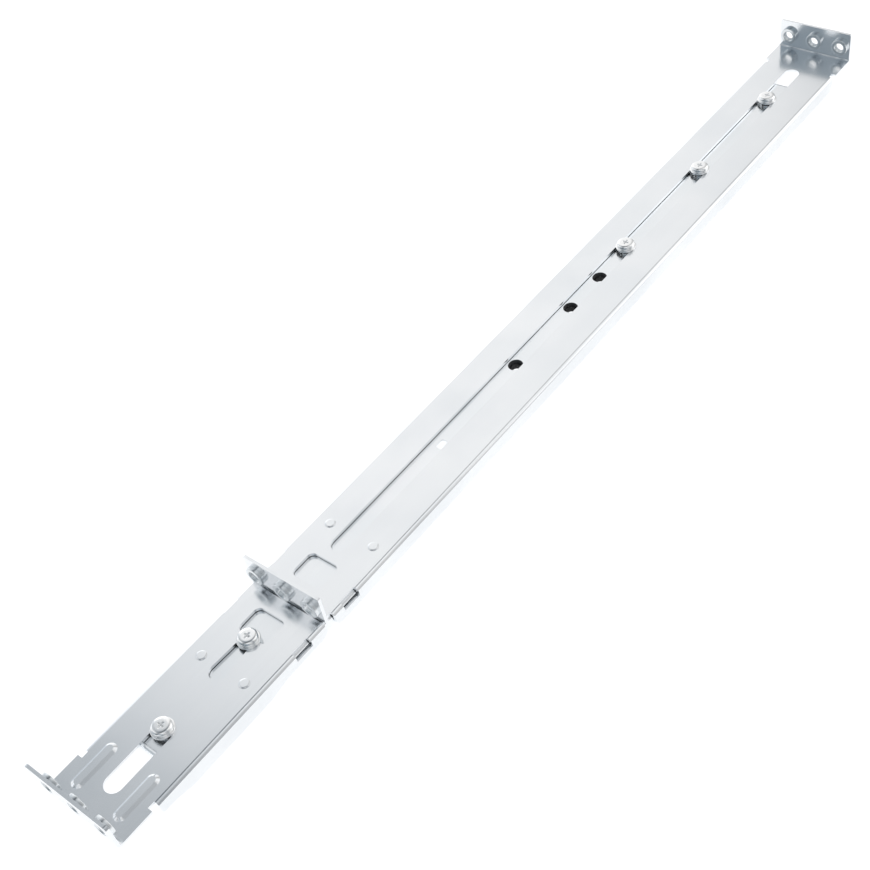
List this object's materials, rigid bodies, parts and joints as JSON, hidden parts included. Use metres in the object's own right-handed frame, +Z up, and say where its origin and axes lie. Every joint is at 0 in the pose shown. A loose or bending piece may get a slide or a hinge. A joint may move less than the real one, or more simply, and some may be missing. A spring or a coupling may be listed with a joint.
{
  "type": "telescoping server rack rail",
  "caption": "Telescoping sheet steel server rack rail: a short front rail and a long slotted rear rail joined by an inner rail, with threaded mounting flanges.",
  "frame": {"origin": "outer face of the front flange, on the axis of its middle threaded hole", "axes": "+X from the front of the rack to its rear, +Y across the rail towards the front flange's long side, +Z up out of the web"},
  "size_m": [0.5842, 0.049, 0.0253],
  "materials": {
    "zinc_sheet": "bright zinc plating on cold-rolled sheet",
    "zinc_nut": "zinc plating on a turned self-clinching nut",
    "zinc_fastener": "bright zinc plating on a cold-headed screw or washer"
  },
  "bodies": {
    "front": {"front_rail": "zinc_sheet", "front_flange_nut_1": "zinc_nut", "front_flange_nut_2": "zinc_nut", "front_flange_nut_3": "zinc_nut"},
    "inner": {"inner_rail": "zinc_sheet", "adjusting_screw_1": "zinc_fastener", "adjusting_screw_2": "zinc_fastener", "adjusting_screw_3": "zinc_fastener", "adjusting_screw_4": "zinc_fastener", "adjusting_screw_5": "zinc_fastener", "washer_1": "zinc_fastener", "washer_2": "zinc_fastener", "washer_3": "zinc_fastener", "washer_4": "zinc_fastener", "washer_5": "zinc_fastener"},
    "rear": {"rear_rail": "zinc_sheet", "middle_flange_nut_1": "zinc_nut", "middle_flange_nut_2": "zinc_nut", "middle_flange_nut_3": "zinc_nut", "rear_flange_nut_1": "zinc_nut", "rear_flange_nut_2": "zinc_nut", "rear_flange_nut_3": "zinc_nut"}
  },
  "joints": [
    {"name": "inner_rail_slide", "type": "slide", "parent": "front", "child": "inner", "axis": [-1, 0, 0], "range_m": [0, 0.02]},
    {"name": "rear_rail_slide", "type": "slide", "parent": "front", "child": "rear", "axis": [1, 0, 0], "range_m": [0, 0.207]}
  ]
}
